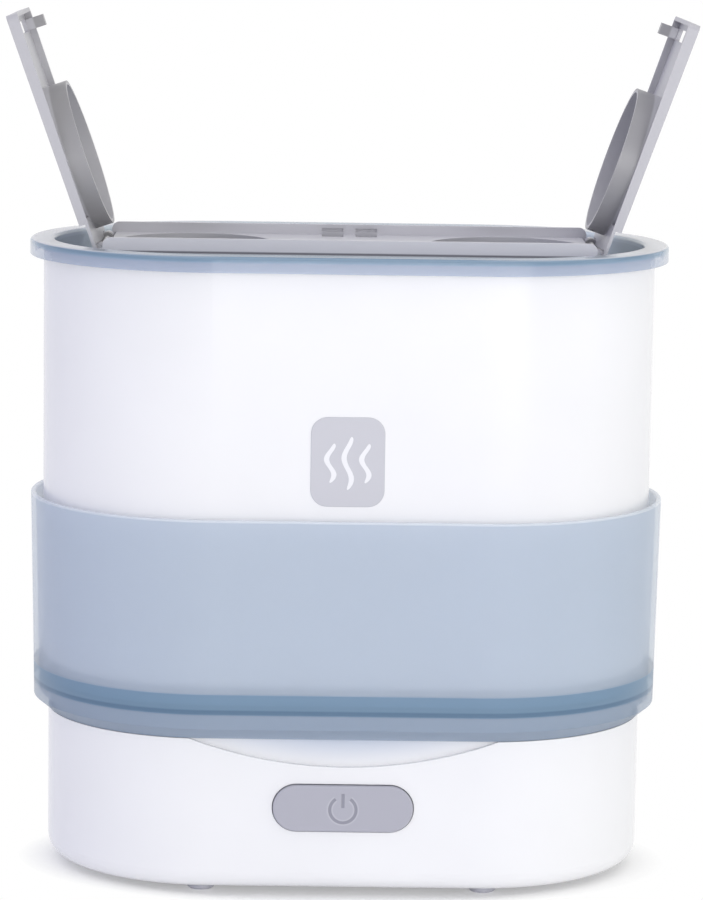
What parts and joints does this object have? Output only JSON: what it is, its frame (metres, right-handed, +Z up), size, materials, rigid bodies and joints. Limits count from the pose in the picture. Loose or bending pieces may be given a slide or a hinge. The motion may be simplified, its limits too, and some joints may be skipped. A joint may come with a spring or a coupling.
{
  "type": "baby bottle warmer steriliser",
  "caption": "Oval electric bottle warmer and steriliser: white base with a pill button, frosted blue cup, white chamber, blue top tray and an open split lid.",
  "frame": {"origin": "centre of the appliance on the ground, under the feet", "axes": "+Z up, -Y the front with the power button, +X to the right seen from the front"},
  "size_m": [0.2998, 0.166, 0.3808],
  "materials": {
    "white_gloss_plastic": "glossy moulded white",
    "white_matte_plastic": "fine matt texture",
    "blue_translucent_plastic": "frosted, see-through blue",
    "grey_satin_plastic": "satin grey",
    "button_plastic": "soft grey",
    "grey_rubber": "soft matt rubber",
    "seal_silicone": "soft silicone",
    "heater_steel": "brushed stainless steel",
    "thermostat_steel": "pressed steel can",
    "zinc_steel": "zinc plated",
    "pin_steel": "ground steel pin",
    "element_aluminium": "drawn tube",
    "board_plastic": "green circuit board",
    "black_plastic": "fine matt black"
  },
  "bodies": {
    "base": {"base_shell": "white_gloss_plastic", "bottom_cover": "white_matte_plastic", "base_screws": "zinc_steel", "foot_front_left": "grey_rubber", "foot_front_right": "grey_rubber", "foot_rear_left": "grey_rubber", "foot_rear_right": "grey_rubber", "heater_plate": "heater_steel", "heater_seal": "seal_silicone", "heating_element": "element_aluminium", "thermostat": "thermostat_steel", "control_board": "board_plastic", "push_switch": "black_plastic", "power_inlet": "black_plastic"},
    "button": {"power_button": "button_plastic"},
    "cup_body": {"cup": "blue_translucent_plastic"},
    "chamber_body": {"chamber": "white_gloss_plastic"},
    "rack_body": {"bottle_rack": "white_matte_plastic"},
    "tray_body": {"top_tray": "blue_translucent_plastic", "lid_frame": "grey_satin_plastic", "hinge_pin_left": "pin_steel", "hinge_pin_right": "pin_steel"},
    "leaf_left_body": {"leaf_left": "grey_satin_plastic"},
    "leaf_right_body": {"leaf_right": "grey_satin_plastic"}
  },
  "joints": [
    {"name": "button_press", "type": "slide", "parent": "base", "child": "button", "axis": [0, 1, 0], "range_m": [0, 0.0012], "stiffness_N_per_m": 800, "springref_m": -0.002},
    {"name": "cup_lift", "type": "slide", "parent": "base", "child": "cup_body", "axis": [0, 0, 1], "range_m": [0, 0.06]},
    {"name": "chamber_lift", "type": "slide", "parent": "cup_body", "child": "chamber_body", "axis": [0, 0, 1], "range_m": [0, 0.09]},
    {"name": "tray_lift", "type": "slide", "parent": "chamber_body", "child": "tray_body", "axis": [0, 0, 1], "range_m": [0, 0.2]},
    {"name": "rack_lift", "type": "slide", "parent": "chamber_body", "child": "rack_body", "axis": [0, 0, 1], "range_m": [0, 0.2]},
    {"name": "left_lid_hinge", "type": "hinge", "parent": "tray_body", "child": "leaf_left_body", "pos_m": [-0.1085, 0, 0.279], "axis": [0, 1, 0], "range_deg": [0, 109]},
    {"name": "right_lid_hinge", "type": "hinge", "parent": "tray_body", "child": "leaf_right_body", "pos_m": [0.1085, 0, 0.279], "axis": [0, -1, 0], "range_deg": [0, 109]}
  ],
  "couplings": [
    {"joint": "rack_lift", "follows": "tray_lift", "ratio": 1}
  ]
}
